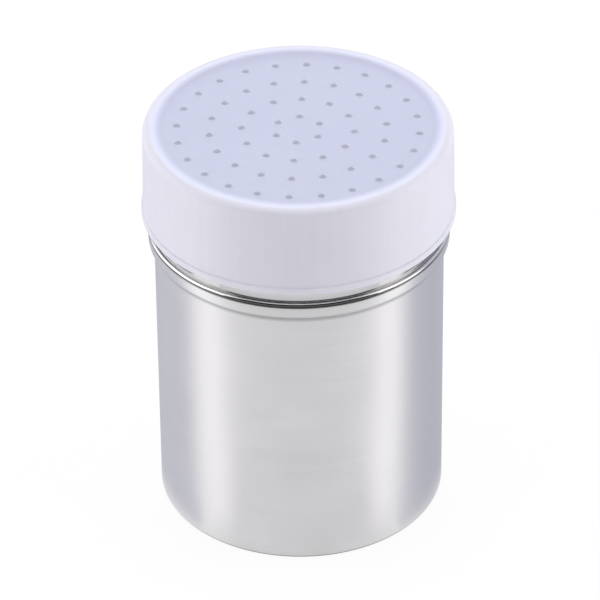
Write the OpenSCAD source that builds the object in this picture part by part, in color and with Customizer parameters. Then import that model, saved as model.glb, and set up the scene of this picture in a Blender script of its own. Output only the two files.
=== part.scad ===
// Spice shaker for a restaurant table or kitchen: a drawn steel body with a screw-on
// perforated steel lid, and a soft translucent dust cover pressed over the lid.
// Millimetres. The origin is the centre of the base on the table, and +Z is up.

/* [Body] */
// Outer radius of the straight wall
body_r = 32.5; // [28:0.5:40]
// Height of the straight wall, from the table to the crease below the stop ring
wall_h = 67.1; // [45:0.1:110]
// Thickness of the body's sheet
body_t = 0.5; // [0.35:0.05:0.55]
// Outer radius of the corner between wall and base
base_corner_r = 1; // [0.8:0.1:2]
// Width of the flat ring that the body stands on
foot_w = 5; // [3:0.5:8]
// Height that the middle of the base is pressed up
dish_h = 1.4; // [1.2:0.1:2.5]

/* [Stop ring and neck] */
// How far the stop ring stands out from the wall
ring_out = 1.3; // [1:0.1:1.6]
// Height of the stop ring, from its crease to the seat of the lid
ring_h = 3.5; // [2.6:0.1:4]
// Radius of the stop ring's lower edge
ring_low_r = 1; // [0.8:0.1:1.2]
// Radius of the stop ring's upper edge
ring_top_r = 0.55; // [0.55:0.05:0.7]
// Radius in the crease between wall and stop ring
ring_root_r = 0.3; // [0.1:0.05:0.3]
// Height of the neck above the seat of the lid
neck_h = 18; // [12:0.5:22]
// Radius in the corner between seat and neck
neck_root_r = 0.6; // [0.3:0.1:0.8]
// Radius of the rolled edge at the mouth
mouth_roll_r = 0.8; // [0.6:0.1:1]

/* [Perforated lid] */
// How far the lid's skirt stands out from the body's wall
lid_out = 0.5; // [0.2:0.1:1]
// Room between the rolled mouth and the lid's top
mouth_room = 5.9; // [2:0.1:12]
// Thickness of the lid's sheet
lid_t = 0.4; // [0.3:0.05:0.5]
// Outer radius of the lid's top corner
lid_corner_r = 1.6; // [1.2:0.1:2]
// How far the hem stands out from the skirt
hem_out = 1; // [0.85:0.05:1.4]
// Height of the hem, from its top to its edge
hem_h = 0.65; // [0.65:0.05:1]
// Outer radius over which the hem is curled down
hem_curl_r = 0.6; // [0.5:0.05:0.6]
// Radius in the corner between skirt and hem
hem_root_r = 0.2; // [0.1:0.05:0.3]

/* [Shaker holes] */
// Diameter of a hole
hole_d = 1.6; // [1:0.1:2.5]
// Number of rings of holes
hole_rings = 4; // [2:1:5]
// Radius of the innermost ring of holes
first_ring_r = 5.3; // [4:0.1:6]
// Distance from the outermost ring of holes to the outside of the skirt
edge_margin = 6.1; // [4:0.1:10]
// Turn of the whole pattern about the axis, in degrees
hole_turn = 25.6; // [0:0.1:60]

/* [Dust cover] */
// Length of the skirt that the cover leaves bare above the hem
skirt_bare = 3.2; // [1:0.05:8]
// Thickness of the cover's top
cover_top_t = 1; // [0.8:0.1:1.8]
// Thickness of the cover's wall below its rounded edge
cover_wall_t = 1.4; // [1:0.1:1.8]
// How far the wall's outside widens from the rounded edge down to the lip
cover_draft = 0.3; // [0.1:0.05:0.5]
// Outer radius of the cover's top edge
cover_edge_r = 1.8; // [1.4:0.1:2.2]
// Radius inside the cover's top edge
cover_inner_r = 0.9; // [0.5:0.1:1.1]
// Height of the lip
lip_h = 1.7; // [1.3:0.1:2.4]
// How far the lip stands out from the wall
lip_out = 0.4; // [0.2:0.05:0.6]
// Radius of the lip's two outer edges
lip_r = 0.45; // [0.3:0.05:0.6]
// Chamfer inside the cover's mouth, which guides it over the lid
lead_in = 0.4; // [0.2:0.1:0.6]

/* [Fits] */
// Radial room between neck and skirt, which the rolled screw threads take up
thread_room = 1.4; // [1.2:0.1:1.8]
// Gap between the stop ring and the lid's hem
seat_gap = 0.15; // [0.1:0.05:0.3]
// Radial gap between the lid's skirt and the dust cover
cover_fit = 0.08; // [0.02:0.01:0.1]
// Gap between the lid's top and the dust cover
cover_gap = 0.1; // [0.05:0.05:0.3]

/* [Hidden] */
$fn = 96;

steel = [0.78, 0.78, 0.79];
polished = [0.86, 0.86, 0.87];
frosted = [0.87, 0.87, 0.93, 0.8];

cut = 1; // how far a cut runs past the face that it opens

ring_r = body_r + ring_out;
seat_z = wall_h + ring_h;
foot_in_r = body_r - foot_w;
dish_root_r = body_t + 0.1; // in the corner between foot and dish
dish_top_r = dish_h - dish_root_r;

lid_r = body_r + lid_out;
lid_bore_r = lid_r - lid_t;
neck_r = lid_bore_r - thread_room;
mouth_z = seat_z + neck_h;
lid_top_z = mouth_z + mouth_room + lid_t;
last_ring_r = lid_r - edge_margin;
ring_step = (last_ring_r - first_ring_r) / (hole_rings - 1);

hem_z = seat_z + seat_gap;
hem_top_z = hem_z + hem_h;
hem_r = lid_r + hem_out;

cover_bore_r = lid_r + cover_fit;
cover_floor_z = lid_top_z + cover_gap;
cover_top_z = cover_floor_z + cover_top_t;
cover_low_z = hem_top_z + skirt_bare;
cover_r = cover_bore_r + cover_wall_t;
cover_low_r = cover_r + cover_draft;
lip_outer_r = cover_low_r + lip_out;

// Half section of a disc from z0 to z1 with its lower and upper outer edges rounded
module disc_section(r, z0, z1, low_r = 0, top_r = 0) {
    inner_r = r - max(low_r, top_r);
    translate([0, z0]) square([inner_r, z1 - z0]);
    translate([0, z0 + low_r]) square([r, z1 - z0 - low_r - top_r]);
    if (low_r > 0) {
        translate([r - low_r, z0 + low_r]) circle(r = low_r);
        translate([0, z0]) square([r - low_r, low_r]);
    }
    if (top_r > 0) {
        translate([r - top_r, z1 - top_r]) circle(r = top_r);
        translate([0, z1 - top_r]) square([r - top_r, top_r]);
    }
}

// Half section of a fillet of radius r in the corner between a wall on the left and a
// face across it, whose corner lies at (x, z). It lies above the face, or below it.
module corner_fillet(x, z, r, below = false) {
    translate([x, z]) mirror([0, below ? 1 : 0]) difference() {
        translate([-r, -r]) square(2 * r);
        translate([r, r]) circle(r = r);
    }
}

// Half section of what lies under the pressed-up middle of the base. Grown by one
// sheet thickness, it gives the upper face of the base.
module dish_section(grow) {
    dish_r = foot_in_r - dish_root_r;
    disc_section(dish_r + grow, grow - cut, dish_h + grow, top_r = dish_top_r + grow);
    corner_fillet(dish_r + grow, grow, dish_root_r - grow);
}

// Half section of the solid that the body's outer face bounds, drawn in by inset, so
// that an inset of one sheet thickness gives the body's inner face
module body_outline(inset) {
    disc_section(body_r - inset, inset, wall_h + 2 * inset, low_r = base_corner_r - inset);
    disc_section(ring_r - inset, wall_h + inset, seat_z - inset,
        low_r = ring_low_r - inset, top_r = ring_top_r - inset);
    corner_fillet(body_r - inset, wall_h + inset, ring_root_r + inset, below = true);
    translate([0, seat_z - inset - cut])
        square([neck_r - inset, neck_h + inset + cut]);
    corner_fillet(neck_r - inset, seat_z - inset, neck_root_r + inset);
}

module body_section() {
    difference() {
        body_outline(0);
        difference() {
            body_outline(body_t);
            dish_section(body_t);
        }
        dish_section(0);
        // The mouth is open above its rolled edge
        translate([0, mouth_z - mouth_roll_r])
            square([neck_r + cut, mouth_roll_r + cut]);
    }
    // The mouth's edge is rolled inward into a bead
    translate([neck_r - mouth_roll_r, mouth_z - mouth_roll_r]) circle(r = mouth_roll_r);
}

module shaker_body() {
    color(steel) rotate_extrude() body_section();
}

// Each ring has six holes more than the one inside it, and they all have a hole on
// one common radius
module hole_pattern() {
    for (ring = [1:hole_rings]) {
        count = 6 * ring;
        radius = first_ring_r + (ring - 1) * ring_step;
        for (i = [0:count - 1])
            rotate([0, 0, hole_turn + i * 360 / count])
                translate([radius, 0, lid_top_z - lid_t - cut])
                    cylinder(r = hole_d / 2, h = lid_t + 2 * cut, $fn = 24);
    }
}

// Half section of the hollow under the hem: the sheet bends outward from the skirt, and
// its edge is curled down
module hem_hollow_section() {
    corner_fillet(lid_bore_r, hem_top_z - lid_t, hem_root_r + lid_t);
    disc_section(hem_r - lid_t, hem_z - cut, hem_top_z - lid_t,
        top_r = hem_curl_r - lid_t);
}

module lid_section() {
    difference() {
        union() {
            disc_section(lid_r, hem_z, lid_top_z, top_r = lid_corner_r);
            disc_section(hem_r, hem_z, hem_top_z, top_r = hem_curl_r);
            corner_fillet(lid_r, hem_top_z, hem_root_r);
        }
        disc_section(lid_bore_r, hem_z - cut, lid_top_z - lid_t,
            top_r = lid_corner_r - lid_t);
        hem_hollow_section();
        // The curl is trimmed level with the hem's edge
        translate([0, hem_z - cut]) square([hem_r + cut, cut]);
    }
}

module perforated_lid() {
    color(polished) difference() {
        rotate_extrude() lid_section();
        hole_pattern();
    }
}

module cover_section() {
    difference() {
        union() {
            disc_section(cover_r, cover_top_z - 2 * cover_edge_r, cover_top_z,
                top_r = cover_edge_r);
            polygon([
                [0, cover_low_z + lip_h / 2],
                [cover_low_r, cover_low_z + lip_h / 2],
                [cover_r, cover_top_z - cover_edge_r],
                [0, cover_top_z - cover_edge_r]
            ]);
            disc_section(lip_outer_r, cover_low_z, cover_low_z + lip_h,
                low_r = lip_r, top_r = lip_r);
        }
        disc_section(cover_bore_r, cover_low_z - cut, cover_floor_z,
            top_r = cover_inner_r);
        polygon([
            [0, cover_low_z - cut],
            [cover_bore_r + lead_in + cut, cover_low_z - cut],
            [cover_bore_r, cover_low_z + lead_in],
            [0, cover_low_z + lead_in]
        ]);
    }
}

module dust_cover() {
    color(frosted) rotate_extrude() cover_section();
}

shaker_body();
perforated_lid();
dust_cover();
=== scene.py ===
import math

import bmesh
import bpy
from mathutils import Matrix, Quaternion, Vector
from mathutils.geometry import delaunay_2d_cdt


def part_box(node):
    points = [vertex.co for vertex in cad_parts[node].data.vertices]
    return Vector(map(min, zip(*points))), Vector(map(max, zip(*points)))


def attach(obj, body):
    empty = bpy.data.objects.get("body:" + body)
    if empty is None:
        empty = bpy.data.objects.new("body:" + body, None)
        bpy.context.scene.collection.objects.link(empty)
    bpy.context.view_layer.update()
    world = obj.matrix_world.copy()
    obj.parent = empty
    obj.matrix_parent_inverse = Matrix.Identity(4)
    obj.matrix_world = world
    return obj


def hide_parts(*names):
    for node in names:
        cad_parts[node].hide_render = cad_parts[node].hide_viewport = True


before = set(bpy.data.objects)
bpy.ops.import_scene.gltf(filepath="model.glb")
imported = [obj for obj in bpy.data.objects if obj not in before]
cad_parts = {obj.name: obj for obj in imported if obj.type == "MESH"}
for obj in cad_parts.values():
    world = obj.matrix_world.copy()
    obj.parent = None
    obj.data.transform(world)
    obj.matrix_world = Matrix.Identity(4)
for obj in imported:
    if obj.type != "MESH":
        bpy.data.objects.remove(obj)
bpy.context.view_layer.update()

MM = 0.001
TURN = 2 * math.pi

# ---------------------------------------------------------------- sizes

# How fine the meshes are
SEGMENTS = 256  # steps round the axis
HOLE_STEPS = 32  # steps round a shaker hole
ARC_STEP = math.radians(7.5)  # length of a step along a rounded corner
WALL_STEP = 0.25 * MM  # length of a step along a wall that carries a thread
WELD = MM / 1000  # points closer than this are one
TOUCH = 1e-9  # points of a flat face closer than this are one
SHARP = math.radians(35)  # smallest angle at which an edge isn't shaded smooth

# What the frame gives
_, body_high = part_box("shaker_body")
lid_low, lid_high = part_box("perforated_lid")
cover_low, cover_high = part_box("dust_cover")
ring_r = body_high.x
mouth_z = body_high.z
hem_r = lid_high.x
hem_z = lid_low.z
lid_top_z = lid_high.z
lip_outer_r = cover_high.x
cover_low_z = cover_low.z
cover_top_z = cover_high.z

# Body
body_t = 0.5 * MM
ring_out = 1.3 * MM
ring_h = 3.5 * MM
neck_h = 18 * MM
foot_w = 5 * MM
dish_h = 1.4 * MM
base_corner_r = 1 * MM
dish_root_r = 0.6 * MM
ring_root_r = 0.3 * MM
ring_low_r = 1 * MM
ring_top_r = 0.55 * MM
neck_root_r = 0.6 * MM
mouth_roll_r = 0.8 * MM
body_r = ring_r - ring_out
seat_z = mouth_z - neck_h
wall_h = seat_z - ring_h
foot_in_r = body_r - foot_w

# Lid
lid_t = 0.4 * MM
lid_corner_r = 1.6 * MM
hem_out = 1 * MM
hem_h = 0.65 * MM
hem_curl_r = 0.6 * MM
hem_root_r = 0.2 * MM
thread_room = 1.4 * MM
lid_r = hem_r - hem_out
lid_bore_r = lid_r - lid_t
neck_r = lid_bore_r - thread_room
hem_top_z = hem_z + hem_h
plate_r = lid_r - lid_corner_r

# Shaker holes
hole_r = 0.8 * MM
hole_rings = 4
first_ring_r = 5.3 * MM
ring_step = 7.2 * MM
hole_turn = math.radians(25.6)
hole_edge = 0.06 * MM  # rounding of the upper edge by the punch
hole_burr = 0.05 * MM  # bevel of the lower edge

# Dust cover
cover_top_t = 1 * MM
cover_wall_t = 1.4 * MM
cover_draft = 0.3 * MM
cover_edge_r = 1.8 * MM
cover_inner_r = 0.9 * MM
lip_h = 1.7 * MM
lip_out = 0.4 * MM
lip_r = 0.45 * MM
lead_in = 0.4 * MM
cover_low_r = lip_outer_r - lip_out
cover_r = cover_low_r - cover_draft
cover_bore_r = cover_r - cover_wall_t
cover_floor_z = cover_top_z - cover_top_t

# Rolled screw threads: the neck's crests point out and the lid's point in
thread_pitch = 4 * MM
thread_half_w = 1.25 * MM
thread_turns = 2.2
thread_fade = 0.1  # share of a turn over which a thread's end rises
thread_reach = 1 * MM  # how far the threaded sheet reaches to either side of its wall
neck_thread_depth = 0.85 * MM
neck_thread_z = seat_z + 5.2 * MM
lid_thread_depth = 0.3 * MM
lid_thread_z = neck_thread_z + thread_pitch / 2

# ---------------------------------------------------------------- outlines


def evenly(start, end, steps):
    """Evenly spaced numbers from start to end, with both ends."""
    return [start + (end - start) * i / steps for i in range(steps + 1)]


def arc(centre_r, centre_z, radius, start, end):
    """Points along an arc, angles in degrees: 0 points outward and 90 points up."""
    start, end = math.radians(start), math.radians(end)
    steps = max(2, math.ceil(abs(end - start) / ARC_STEP))
    return [
        (centre_r + radius * math.cos(angle), centre_z + radius * math.sin(angle))
        for angle in evenly(start, end, steps)
    ]


def straight(r, start_z, end_z):
    """Points up or down a wall, close enough together to carry a thread."""
    steps = math.ceil(abs(end_z - start_z) / WALL_STEP)
    return [(r, z) for z in evenly(start_z, end_z, steps)]


def body_face(inset):
    """The body's outer face from its base to its mouth, drawn in by inset."""
    return [
        (0, dish_h + inset),
        *arc(foot_in_r - dish_h, dish_root_r, dish_h - dish_root_r + inset, 90, 0),
        *arc(foot_in_r, dish_root_r, dish_root_r - inset, 180, 270),
        *arc(body_r - base_corner_r, base_corner_r, base_corner_r - inset, -90, 0),
        *arc(body_r + ring_root_r, wall_h - ring_root_r, ring_root_r + inset, 180, 90),
        *arc(ring_r - ring_low_r, wall_h + ring_low_r, ring_low_r - inset, -90, 0),
        *arc(ring_r - ring_top_r, seat_z - ring_top_r, ring_top_r - inset, 0, 90),
        *arc(neck_r + neck_root_r, seat_z + neck_root_r, neck_root_r + inset, -90, -180),
        *straight(neck_r - inset, seat_z + neck_root_r, mouth_z - 2 * mouth_roll_r),
    ]


def body_outline():
    """Up the outside, round the rolled edge of the mouth and down the inside."""
    mouth_roll = arc(neck_r - mouth_roll_r, mouth_z - mouth_roll_r, mouth_roll_r, 0, 300)
    return body_face(0) + mouth_roll + body_face(body_t)[::-1]


def lid_outline():
    """From the edge of the pierced plate down the outside, round the hem and up the inside."""
    root_z = hem_top_z + hem_root_r
    curl_z = hem_top_z - hem_curl_r
    corner_z = lid_top_z - lid_corner_r
    return [
        *arc(plate_r, corner_z, lid_corner_r, 90, 0),
        *straight(lid_r, corner_z, root_z),
        *arc(lid_r + hem_root_r, root_z, hem_root_r, 180, 270),
        *arc(hem_r - hem_curl_r, curl_z, hem_curl_r, 90, 0),
        (hem_r, hem_z),
        (hem_r - lid_t, hem_z),
        *arc(hem_r - hem_curl_r, curl_z, hem_curl_r - lid_t, 0, 90),
        *arc(lid_r + hem_root_r, root_z, hem_root_r + lid_t, 270, 180),
        *straight(lid_bore_r, root_z, corner_z),
        *arc(plate_r, corner_z, lid_corner_r - lid_t, 0, 90),
    ]


def cover_outline():
    """From the middle of the top down the outside, round the lip and up the inside."""
    edge_z = cover_top_z - cover_edge_r
    return [
        (0, cover_top_z),
        *arc(cover_r - cover_edge_r, edge_z, cover_edge_r, 90, 0),
        (cover_low_r, cover_low_z + lip_h),
        *arc(lip_outer_r - lip_r, cover_low_z + lip_h - lip_r, lip_r, 90, 0),
        *arc(lip_outer_r - lip_r, cover_low_z + lip_r, lip_r, 0, -90),
        (cover_bore_r + lead_in, cover_low_z),
        (cover_bore_r, cover_low_z + lead_in),
        *arc(cover_bore_r - cover_inner_r, cover_floor_z - cover_inner_r, cover_inner_r, 0, 90),
        (0, cover_floor_z),
    ]


# ---------------------------------------------------------------- meshes


def thread(z, angle, start_z):
    """Share of its depth that a rolled thread has at a height and angle."""
    share = 0
    for whole_turn in range(math.ceil(thread_turns) + 1):
        turn = angle / TURN + whole_turn
        off = (z - start_z - thread_pitch * turn) / thread_half_w
        end = min(turn, thread_turns - turn) / thread_fade
        if abs(off) < 1 and end > 0:
            share += math.cos(off * math.pi / 2) ** 2 * math.sin(min(end, 1) * math.pi / 2)
    return share


def band(row, next_row):
    """Faces between two closed rows of points. A row of one repeated point is a tip."""
    faces = []
    for i in range(len(row)):
        j = (i + 1) % len(row)
        corners = [row[i], row[j], next_row[j], next_row[i]]
        faces.append(list(dict.fromkeys(corners)))
    return faces


def lathe(outline, thread_depth=0, thread_z=0, thread_r=0):
    """Turns an outline round the axis. Points close to thread_r carry the thread."""
    points, rows, faces = [], [], []
    for r, z in outline:
        if r < WELD:
            rows.append([len(points)] * SEGMENTS)
            points.append((0, 0, z))
            continue
        rows.append(range(len(points), len(points) + SEGMENTS))
        threaded = thread_depth and abs(r - thread_r) < thread_reach
        for i in range(SEGMENTS):
            angle = TURN * i / SEGMENTS
            out = r + (thread_depth * thread(z, angle, thread_z) if threaded else 0)
            points.append((out * math.cos(angle), out * math.sin(angle), z))
    for row, next_row in zip(rows, rows[1:]):
        faces += band(row, next_row)
    return points, faces


def circle(x, y, radius, steps):
    """Points evenly round a centre, without the last one that repeats the first."""
    return [
        (x + radius * math.cos(TURN * i / steps), y + radius * math.sin(TURN * i / steps))
        for i in range(steps)
    ]


def hole_centres():
    """Each ring has six holes more than the one inside it."""
    centres = []
    for ring in range(hole_rings):
        count = 6 * (ring + 1)
        radius = first_ring_r + ring * ring_step
        for i in range(count):
            angle = hole_turn + TURN * i / count
            centres.append((radius * math.cos(angle), radius * math.sin(angle)))
    return centres


def pierced_flat(z, radius, centres):
    """A flat face of the lid's plate, which joins the outline turned by lathe()."""
    points, edges, faces = [], [], []
    loops = [circle(0, 0, plate_r, SEGMENTS)]
    loops += [circle(x, y, radius, HOLE_STEPS) for x, y in centres]
    for loop in loops:
        first = len(points)
        points += [Vector(point) for point in loop]
        edges += [(first + i, first + (i + 1) % len(loop)) for i in range(len(loop))]
    points, _, triangles, *_ = delaunay_2d_cdt(points, edges, [], 0, TOUCH)
    for triangle in triangles:
        inside = sum((points[i] for i in triangle), Vector((0, 0))) / 3
        if all((inside - Vector(centre)).length > radius for centre in centres):
            faces.append(list(triangle))
    return [(x, y, z) for x, y in points], faces


def hole_walls(centres):
    """The walls of the holes between the two faces of the plate."""
    outline = [
        (hole_r + hole_edge, lid_top_z),
        (hole_r, lid_top_z - hole_edge),
        (hole_r, lid_top_z - lid_t + hole_burr),
        (hole_r + hole_burr, lid_top_z - lid_t),
    ]
    points, faces = [], []
    for centre in centres:
        rows = []
        for radius, z in outline:
            rows.append(range(len(points), len(points) + HOLE_STEPS))
            points += [(x, y, z) for x, y in circle(*centre, radius, HOLE_STEPS)]
        for row, next_row in zip(rows, rows[1:]):
            faces += band(row, next_row)
    return points, faces


def add_object(name, data):
    made = bpy.data.objects.new(name, data)
    bpy.context.scene.collection.objects.link(made)
    return made


def make_piece(name, parts, material):
    """One mesh object from lists of points and faces, welded where they meet."""
    points, faces = [], []
    for part_points, part_faces in parts:
        first = len(points)
        points += part_points
        faces += [[first + i for i in face] for face in part_faces]
    mesh = bpy.data.meshes.new(name)
    mesh.from_pydata(points, [], faces)
    welded = bmesh.new()
    welded.from_mesh(mesh)
    bmesh.ops.remove_doubles(welded, verts=welded.verts, dist=WELD)
    bmesh.ops.recalc_face_normals(welded, faces=welded.faces)
    welded.to_mesh(mesh)
    welded.free()
    mesh.shade_smooth()
    mesh.set_sharp_from_angle(angle=SHARP)
    mesh.materials.append(material)
    return add_object(name, mesh)


# ---------------------------------------------------------------- nodes


def new_material(name):
    """A material with its node tree and its Principled shader."""
    material = bpy.data.materials.new(name)
    material.use_nodes = True
    tree = material.node_tree
    return material, tree, tree.nodes["Principled BSDF"]


def fill(made, inputs):
    """Sets a node's inputs, by name or number, to values or to the sockets that feed them."""
    for key, value in inputs.items():
        if isinstance(value, bpy.types.NodeSocket):
            made.id_data.links.new(value, made.inputs[key])
        else:
            made.inputs[key].default_value = value


def node(tree, kind, inputs=None, **properties):
    """A node of the kind with its properties and inputs set."""
    made = tree.nodes.new(kind)
    for key, value in properties.items():
        setattr(made, key, value)
    fill(made, inputs or {})
    return made


def math_node(tree, operation, a, b=0):
    """An operation on one or two numbers or sockets."""
    return node(tree, "ShaderNodeMath", {0: a, 1: b}, operation=operation).outputs["Value"]


def remap(tree, value, low, high, from_low=0.3, from_high=0.7, interpolation="LINEAR"):
    """A value carried from one range, by default that of noise, to the range low to high."""
    numbers = {0: value, 1: from_low, 2: from_high, 3: low, 4: high}
    made = node(tree, "ShaderNodeMapRange", numbers, interpolation_type=interpolation)
    return made.outputs["Result"]


def mix_colors(tree, share, first, second):
    """The share is that of the second color."""
    made = node(tree, "ShaderNodeMix", data_type="RGBA")
    fill(made, {0: share, 6: first, 7: second})
    return made.outputs[2]


def mix_shaders(tree, share, first, second):
    """The share is that of the second shader."""
    made = node(tree, "ShaderNodeMixShader", {0: share, 1: first, 2: second})
    return made.outputs["Shader"]


def bump(tree, height, strength, depth):
    facts = {"Strength": strength, "Distance": depth, "Height": height}
    return node(tree, "ShaderNodeBump", facts).outputs["Normal"]


def coordinates(tree):
    """The sockets of x, y and z on the piece, and of the distance from the axis."""
    whole = node(tree, "ShaderNodeTexCoord").outputs["Object"]
    x, y, z = node(tree, "ShaderNodeSeparateXYZ", {"Vector": whole}).outputs
    square = math_node(tree, "ADD",
        math_node(tree, "MULTIPLY", x, x), math_node(tree, "MULTIPLY", y, y))
    return x, y, z, math_node(tree, "SQRT", square)


def noise(tree, *axes, detail=4):
    """Noise over three axes, each with its socket and its scale in features per metre."""
    scaled = [math_node(tree, "MULTIPLY", socket, scale) for socket, scale in axes]
    vector = node(tree, "ShaderNodeCombineXYZ", dict(enumerate(scaled))).outputs["Vector"]
    facts = {"Vector": vector, "Scale": 1, "Detail": detail}
    return node(tree, "ShaderNodeTexNoise", facts).outputs["Fac"]


# ---------------------------------------------------------------- materials


def steel(name, color, roughness, anisotropy, brush_depth, painted_shade=()):
    """Steel that was brushed or polished on the lathe, so its lines run round the axis.
    Painted shade darkens it at some heights, in creases and gaps, each given with the share of
    the color left in it, and with how far from it that share holds and ends."""
    material, tree, shader = new_material(name)
    x, y, z, from_axis = coordinates(tree)
    path = math_node(tree, "ADD", z, from_axis)
    lines = noise(tree, (x, 40), (y, 40), (path, 5000))
    patches = noise(tree, (x, 60), (y, 60), (z, 60))
    darker = [channel * 0.98 for channel in color]
    lighter = [min(channel * 1.015, 1) for channel in color]
    tone = mix_colors(tree, remap(tree, lines, 0, 1), (*darker, 1), (*lighter, 1))
    unshaded_share = 1
    # painted shade: the colour is darkened near each height
    for height, share, near, far in painted_shade:
        off = math_node(tree, "ABSOLUTE", math_node(tree, "SUBTRACT", z, height))
        unshaded_share = math_node(tree, "MULTIPLY", unshaded_share, remap(tree, off, share, 1, near, far))
    shade = node(tree, "ShaderNodeVectorMath", {"Vector": tone, "Scale": unshaded_share}, operation="SCALE")
    around = node(tree, "ShaderNodeTangent", direction_type="RADIAL", axis="Z")
    fill(shader, {
        "Base Color": shade.outputs["Vector"],
        "Metallic": 1,
        "Roughness": math_node(tree, "ADD",
            remap(tree, lines, -0.04, 0.04),
            remap(tree, patches, roughness - 0.02, roughness + 0.02)),
        "Anisotropic": anisotropy,
        "Anisotropic Rotation": 0.25,  # the highlight spreads across the lines
        "Tangent": around.outputs["Tangent"],
        "Normal": bump(tree, lines, strength=0.3, depth=brush_depth),
    })
    return material


def frosted_plastic(top_alpha, ceiling_alpha, wall_alpha):
    """Soft milky plastic. Its top lies close to the lid and lets the holes show through."""
    material, tree, shader = new_material("frosted_polyethylene")
    x, y, z, from_axis = coordinates(tree)
    cloud = noise(tree, (x, 90), (y, 90), (z, 90))
    streaks = noise(tree, (x, 900), (y, 900), (z, 25), detail=2)
    blend = math_node(tree, "ADD", remap(tree, cloud, 0, 0.6), remap(tree, streaks, 0, 0.4))
    milky = mix_colors(tree, blend, (0.70, 0.69, 0.775, 1), (0.735, 0.73, 0.815, 1))
    # Over the lid the plastic is brighter and bluer: painted light, for the lit plate seen through
    # the top.
    over_lid = remap(tree, from_axis, 1, 0, lid_r - 1 * MM, lid_r)
    flat_alpha = remap(tree, z, ceiling_alpha, top_alpha, cover_floor_z, cover_top_z)
    fill(shader, {
        "Base Color": mix_colors(tree, over_lid, milky, (0.79, 0.81, 1, 1)),
        "Roughness": remap(tree, cloud, 0.3, 0.36),
        "IOR": 1.5,
        "Specular IOR Level": 0.35,
        "Alpha": remap(tree, from_axis, flat_alpha, wall_alpha,
            plate_r - 1.3 * MM, lid_r, "SMOOTHSTEP"),
        "Normal": bump(tree, cloud, strength=0.2, depth=0.02 * MM),
    })
    return material


brushed = steel(
    "brushed_steel", (0.76, 0.748, 0.763), roughness=0.38, anisotropy=0.85, brush_depth=0.01 * MM,
    painted_shade=[
        # painted shade: contact shadow at the foot, shade in the crease under the ring, shade of
        # the gap under the lid's hem
        (0, 0.15, 0.42 * MM, 0.85 * MM),
        (wall_h - 0.2 * MM, 0.5, 0.2 * MM, 1.3 * MM),
        (seat_z, 0.25, 0.25 * MM, 0.6 * MM),
    ])
# The plate's colour is brighter than the body's steel: painted light, for the light that reaches
# it through the cover.
satin = steel(
    "satin_steel", (0.88, 0.89, 0.93), roughness=0.3, anisotropy=0.7, brush_depth=0.006 * MM)
# The skirt's colour is darker than the plate's: painted shade under the cover's lip. More painted
# shade darkens it where it meets the hem.
skirt = steel(
    "skirt_steel", (0.58, 0.57, 0.58), roughness=0.12, anisotropy=0.5, brush_depth=0.003 * MM,
    painted_shade=[(hem_top_z, 0.85, 0.2 * MM, 2 * MM)])
# The hem's colour is brighter than the body's steel, a painted highlight on its thin bright line;
# painted shade darkens its lower edge, in the gap above the ring.
polished = steel(
    "polished_steel", (0.92, 0.91, 0.88), roughness=0.05, anisotropy=0.3, brush_depth=0.001 * MM,
    painted_shade=[(hem_z, 0.1, 0.18 * MM, 0.32 * MM)])
frosted = frosted_plastic(top_alpha=0.4, ceiling_alpha=0.1, wall_alpha=0.82)

# ---------------------------------------------------------------- pieces

body = make_piece("drawn_body",
    [lathe(body_outline(), neck_thread_depth, neck_thread_z, neck_r)], brushed)
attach(body, "body")
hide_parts("shaker_body")

centres = hole_centres()
lid = make_piece("pierced_lid", [
    lathe(lid_outline(), -lid_thread_depth, lid_thread_z, lid_r),
    pierced_flat(lid_top_z, hole_r + hole_edge, centres),
    pierced_flat(lid_top_z - lid_t, hole_r + hole_burr, centres),
    hole_walls(centres),
], satin)
lid.data.materials.append(skirt)
lid.data.materials.append(polished)
for face in lid.data.polygons:
    face.material_index = (face.center.z < lid_top_z - lid_corner_r) + (face.center.z < hem_top_z)
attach(lid, "lid")
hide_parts("perforated_lid")

cover = make_piece("frosted_cover", [lathe(cover_outline())], frosted)
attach(cover, "cover")
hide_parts("dust_cover")

# ---------------------------------------------------------------- stage

FLOOR_Z = -0.02 * MM
STAGE_R = 1.6  # how far the cards stand from the axis
CURTAIN_Z = (-0.05, 3)  # heights of a curtain's two edges
FAN_Z = 0.1 * MM
CARD_STEPS = 24


def by_ray(tree, camera, glossy, transmission, other=0):
    """A number that depends on the kind of ray that meets the background. The last one is for
    diffuse rays and all others."""
    rays = node(tree, "ShaderNodeLightPath").outputs
    kinds = {"Is Camera Ray": camera, "Is Glossy Ray": glossy, "Is Transmission Ray": transmission}
    total = other
    for kind, value in kinds.items():
        extra = math_node(tree, "MULTIPLY", rays[kind], value - other)
        total = math_node(tree, "ADD", extra, total)
    return total


def make_world(strength):
    """A white surround, which lights the object at the given strength."""
    world = bpy.data.worlds.new("studio")
    world.use_nodes = True
    tree = world.node_tree
    seen = by_ray(tree, 1, 1, 1, strength)
    fill(tree.nodes["Background"], {"Color": (1, 1, 1, 1), "Strength": seen})
    world.cycles.sampling_method = "NONE"  # as a sampled lamp it would shine past the cards
    bpy.context.scene.world = world


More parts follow.
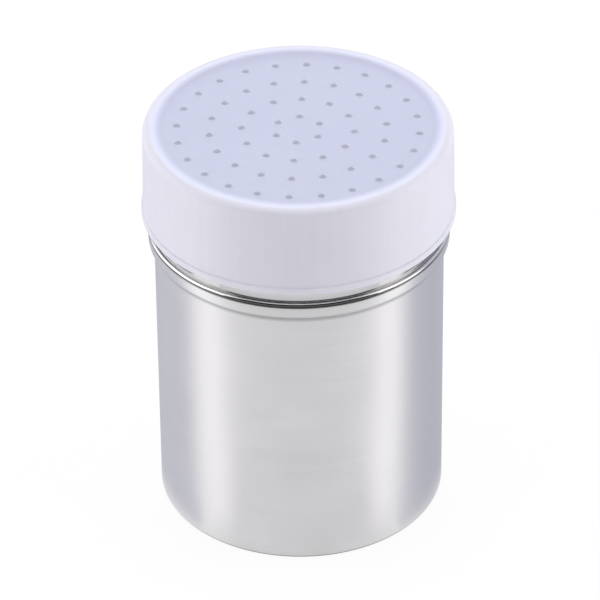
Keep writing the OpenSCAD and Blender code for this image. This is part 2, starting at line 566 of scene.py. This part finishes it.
def make_floor(half_side, glow_seen, glow_mirrored):
    """A floor that is white to the camera and to reflections, but for a share of its shading,
    and clear from below."""
    mesh = bpy.data.meshes.new("floor")
    signs = ((-1, -1), (1, -1), (1, 1), (-1, 1))
    corners = [(x * half_side, y * half_side, FLOOR_Z) for x, y in signs]
    mesh.from_pydata(corners, [], [(0, 1, 2, 3)])
    floor = add_object("floor", mesh)
    material, tree, paper = new_material("floor_paper")
    fill(paper, {"Base Color": (0.9, 0.9, 0.9, 1), "Roughness": 1, "Specular IOR Level": 0})
    glow = node(tree, "ShaderNodeEmission", {"Strength": 1})
    share = by_ray(tree, glow_seen, glow_mirrored, glow_seen)
    above = mix_shaders(tree, share, paper.outputs["BSDF"], glow.outputs["Emission"])
    below = node(tree, "ShaderNodeBsdfTransparent").outputs["BSDF"]
    is_below = node(tree, "ShaderNodeNewGeometry").outputs["Backfacing"]
    fill(tree.nodes["Material Output"], {"Surface": mix_shaders(tree, is_below, above, below)})
    material.cycles.emission_sampling = "NONE"
    mesh.materials.append(material)


def towards(azimuth, elevation, distance):
    """A point seen from the origin. Azimuth 0 is +X and 90 is +Y, in degrees."""
    a, e = math.radians(azimuth), math.radians(elevation)
    return Vector((math.cos(a) * math.cos(e), math.sin(a) * math.cos(e), math.sin(e))) * distance


def softbox(name, azimuth, elevation, distance, width, height, radiance):
    """A lamp aimed at the middle of the object, with no reflection of its own."""
    light = bpy.data.lights.new(name, "AREA")
    light.shape = "RECTANGLE"
    light.size = width
    light.size_y = height
    light.energy = radiance * math.pi * width * height
    lamp = add_object(name, light)
    lamp.location = towards(azimuth, elevation, distance)
    lamp.rotation_mode = "QUATERNION"
    aim = Vector((0, 0, cover_top_z / 2)) - lamp.location
    lamp.rotation_quaternion = aim.to_track_quat("-Z", "Z")
    lamp.visible_camera = False
    lamp.visible_glossy = False


def card(name, pairs, color):
    """A glowing strip between pairs of points, which only reflections see."""
    mesh = bpy.data.meshes.new(name)
    faces = [(2 * i, 2 * i + 2, 2 * i + 3, 2 * i + 1) for i in range(len(pairs) - 1)]
    mesh.from_pydata([point for pair in pairs for point in pair], [], faces)
    made = add_object(name, mesh)
    material, tree, _ = new_material(name)
    glow = node(tree, "ShaderNodeEmission", {"Color": (*color, 1)})
    fill(tree.nodes["Material Output"], {"Surface": glow.outputs["Emission"]})
    material.cycles.emission_sampling = "NONE"
    mesh.materials.append(material)
    made.visible_camera = False
    made.visible_diffuse = False
    made.visible_shadow = False


def curtain(name, from_azimuth, to_azimuth, color):
    """A card that stands round the stage."""
    low, high = (Vector((0, 0, z)) for z in CURTAIN_Z)
    spots = [towards(a, 0, STAGE_R) for a in evenly(from_azimuth, to_azimuth, CARD_STEPS)]
    card(name, [(spot + low, spot + high) for spot in spots], color)


def fan(name, starts, headings, color, gap=2 * MM):
    """A card on the floor, from a gap off the foot of the body outward. It covers what the
    body's wall mirrors between two azimuths: where the rays start, and where they head."""
    lift = Vector((0, 0, FAN_Z))
    pairs = []
    for start, heading in zip(evenly(*starts, CARD_STEPS), evenly(*headings, CARD_STEPS)):
        near = towards(start, 0, body_r + gap) + lift
        pairs.append((near, near + towards(heading, 0, STAGE_R)))
    card(name, pairs, color)


def make_camera(target, elevation, distance, lens, roll):
    """A camera in front of the object, turned by roll about its line of sight."""
    camera = add_object("camera", bpy.data.cameras.new("camera"))
    camera.data.lens = lens
    camera.data.sensor_width = 36
    back = towards(-90, elevation, 1)
    turn = Quaternion((0, 0, 1), math.radians(roll))
    camera.location = target + back * distance
    camera.rotation_mode = "QUATERNION"
    camera.rotation_quaternion = (-back).to_track_quat("-Z", "Y") @ turn
    bpy.context.scene.camera = camera


make_camera(Vector((0.05, 0, 48.85)) * MM, elevation=35.06, distance=1.0343, lens=273.8, roll=-0.6)
make_world(strength=0.5)
make_floor(half_side=4, glow_seen=0.92, glow_mirrored=0.8)

# Azimuth, elevation, distance, width, height and radiance
softbox("left_softbox", 187, 27, 1.1, 0.68, 1.0, 3.5)
softbox("right_softbox", -6, 27, 1.1, 0.6, 1.0, 4.2)
softbox("top_softbox", 90, 72, 1.2, 0.8, 0.8, 1.7)
softbox("back_softbox", 90, 25, 1.3, 1.2, 0.6, 2.6)

curtain("front_dark", 216, 326, (0.02, 0.019, 0.02))
curtain("left_bright", 142, 202, (1.6, 1.6, 1.58))
curtain("right_bright", -22, 3, (1.6, 1.6, 1.58))
curtain("left_grey", 90, 140, (0.55, 0.58, 0.66))
curtain("right_grey", 8, 90, (0.5, 0.52, 0.6))
# The fans paint pools of light on the floor from the softboxes and the floor's shade near the
# body, as the steel mirrors them.
fan("left_bright_floor", (223, 236), (176, 202), (1.32, 1.31, 1.31), gap=9 * MM)
fan("right_bright_floor", (-56, -45), (-22, 0), (1.38, 1.37, 1.37), gap=11 * MM)
fan("left_floor", (223, 90), (176, 90), (0.58, 0.59, 0.66))
fan("right_floor", (-45, 90), (0, 90), (0.6, 0.615, 0.68))

bpy.context.scene.view_settings.view_transform = "Standard"
